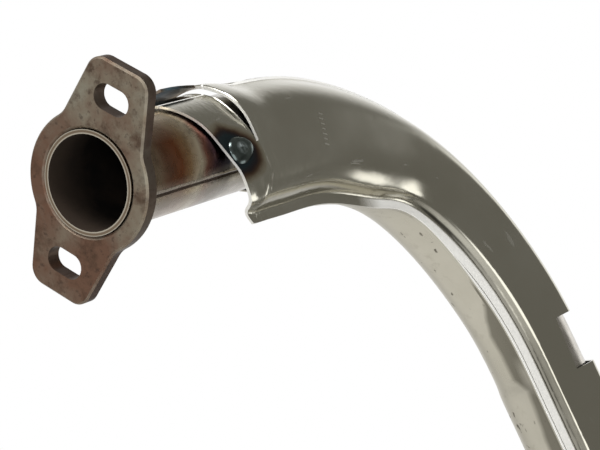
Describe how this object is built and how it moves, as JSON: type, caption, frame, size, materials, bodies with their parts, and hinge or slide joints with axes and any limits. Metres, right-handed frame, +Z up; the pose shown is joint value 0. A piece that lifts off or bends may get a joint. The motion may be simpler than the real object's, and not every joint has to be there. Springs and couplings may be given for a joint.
{
  "type": "scooter exhaust header pipe",
  "caption": "Bent scooter exhaust header pipe with a two-eared slotted port flange and a pressed two-half heat shield, plug welded to the pipe.",
  "frame": {"origin": "centre of the pipe mouth, in the plane of the flange's port face", "axes": "+X runs from the port into the pipe along its straight front run, +Z is up, and the pipe bends down towards -Z in the XZ plane"},
  "size_m": [0.2434, 0.0732, 0.2945],
  "materials": {
    "flange_steel": "plate steel with brown oxide and bright worn edges",
    "pipe_steel": "tube steel with straw and blue heat tint",
    "shield_polished": "polished pressed sheet",
    "shield_satin": "satin pressed sheet with small pits",
    "weld_steel": "blued weld nugget"
  },
  "bodies": {
    "root": {"port_flange": "flange_steel", "head_pipe": "pipe_steel", "shield_near": "shield_polished", "shield_far": "shield_satin", "weld_near": "weld_steel", "weld_far": "weld_steel"}
  },
  "joints": []
}
